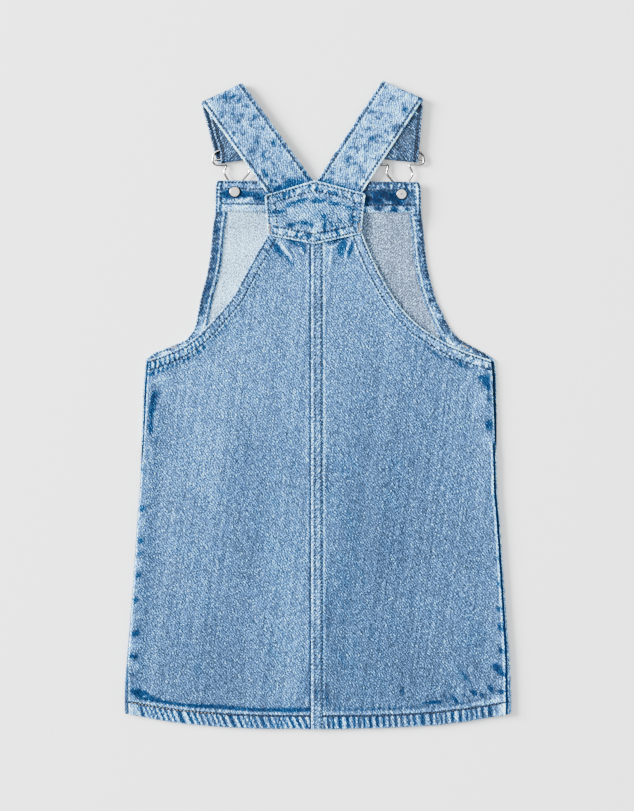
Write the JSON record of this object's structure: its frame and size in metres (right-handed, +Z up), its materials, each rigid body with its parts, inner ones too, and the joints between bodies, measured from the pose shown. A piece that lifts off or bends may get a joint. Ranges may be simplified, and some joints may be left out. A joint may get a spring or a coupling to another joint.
{
  "type": "pinafore dress",
  "caption": "Child's light blue denim pinafore dress laid flat on its front: bib on V straps with wire buckles, pointed back yoke, centre-back seam, side vents, hemmed A-line skirt.",
  "frame": {"origin": "on the floor, under the middle of the laid-out dress", "axes": "+Z up from the floor through the dress's back, +Y from the hem to the shoulders, +X to the right seen from above"},
  "size_m": [0.3486, 0.584, 0.0101],
  "materials": {
    "denim": "stone-washed light blue twill, worn pale on turned edges",
    "denim_inside": "pale wrong side of the denim",
    "thread": "matt grey-brown sewing thread",
    "nickel": "bright nickel plate"
  },
  "bodies": {
    "root": {"front": "denim", "bib_top_facing": "denim", "bib_side_hem_left": "denim", "bib_side_hem_right": "denim", "back_left": "denim", "back_right": "denim", "centre_back_band": "denim", "back_yoke": "denim", "strap_left": "denim", "strap_right": "denim", "buckle_left": "nickel", "buckle_right": "nickel", "button_left": "nickel", "button_right": "nickel", "rivet_cap_left": "nickel", "rivet_cap_right": "nickel"}
  },
  "joints": []
}
